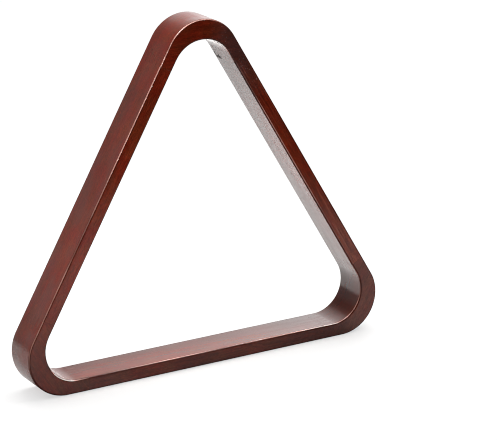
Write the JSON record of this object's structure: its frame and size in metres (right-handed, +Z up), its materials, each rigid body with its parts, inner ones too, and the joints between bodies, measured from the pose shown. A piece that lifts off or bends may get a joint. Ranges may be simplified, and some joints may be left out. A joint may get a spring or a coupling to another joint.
{
  "type": "billiard ball triangle rack",
  "caption": "Rounded triangular hardwood frame that gathers pool balls tightly for the break, with straight rails finger-jointed and glued to thicker, shaped corner blocks.",
  "frame": {"origin": "middle of the footprint on the surface the rack stands on, under the middle of the bottom rail", "axes": "+X along the bottom rail, +Y along the depth from the front broad side to the back broad side, +Z up from the bottom rail towards the apex; on a table the rack lies on a broad side, so its height there is along Y"},
  "size_m": [0.3214, 0.033, 0.2872],
  "materials": {
    "rail_wood": "red mahogany stain under semi-gloss clear lacquer, fine straight grain along the rail",
    "corner_wood": "the same stain and semi-gloss lacquer, a little darker where end grain takes more stain"
  },
  "bodies": {
    "root": {"bottom_rail": "rail_wood", "left_rail": "rail_wood", "right_rail": "rail_wood", "apex_corner": "corner_wood", "left_corner": "corner_wood", "right_corner": "corner_wood"}
  },
  "joints": []
}
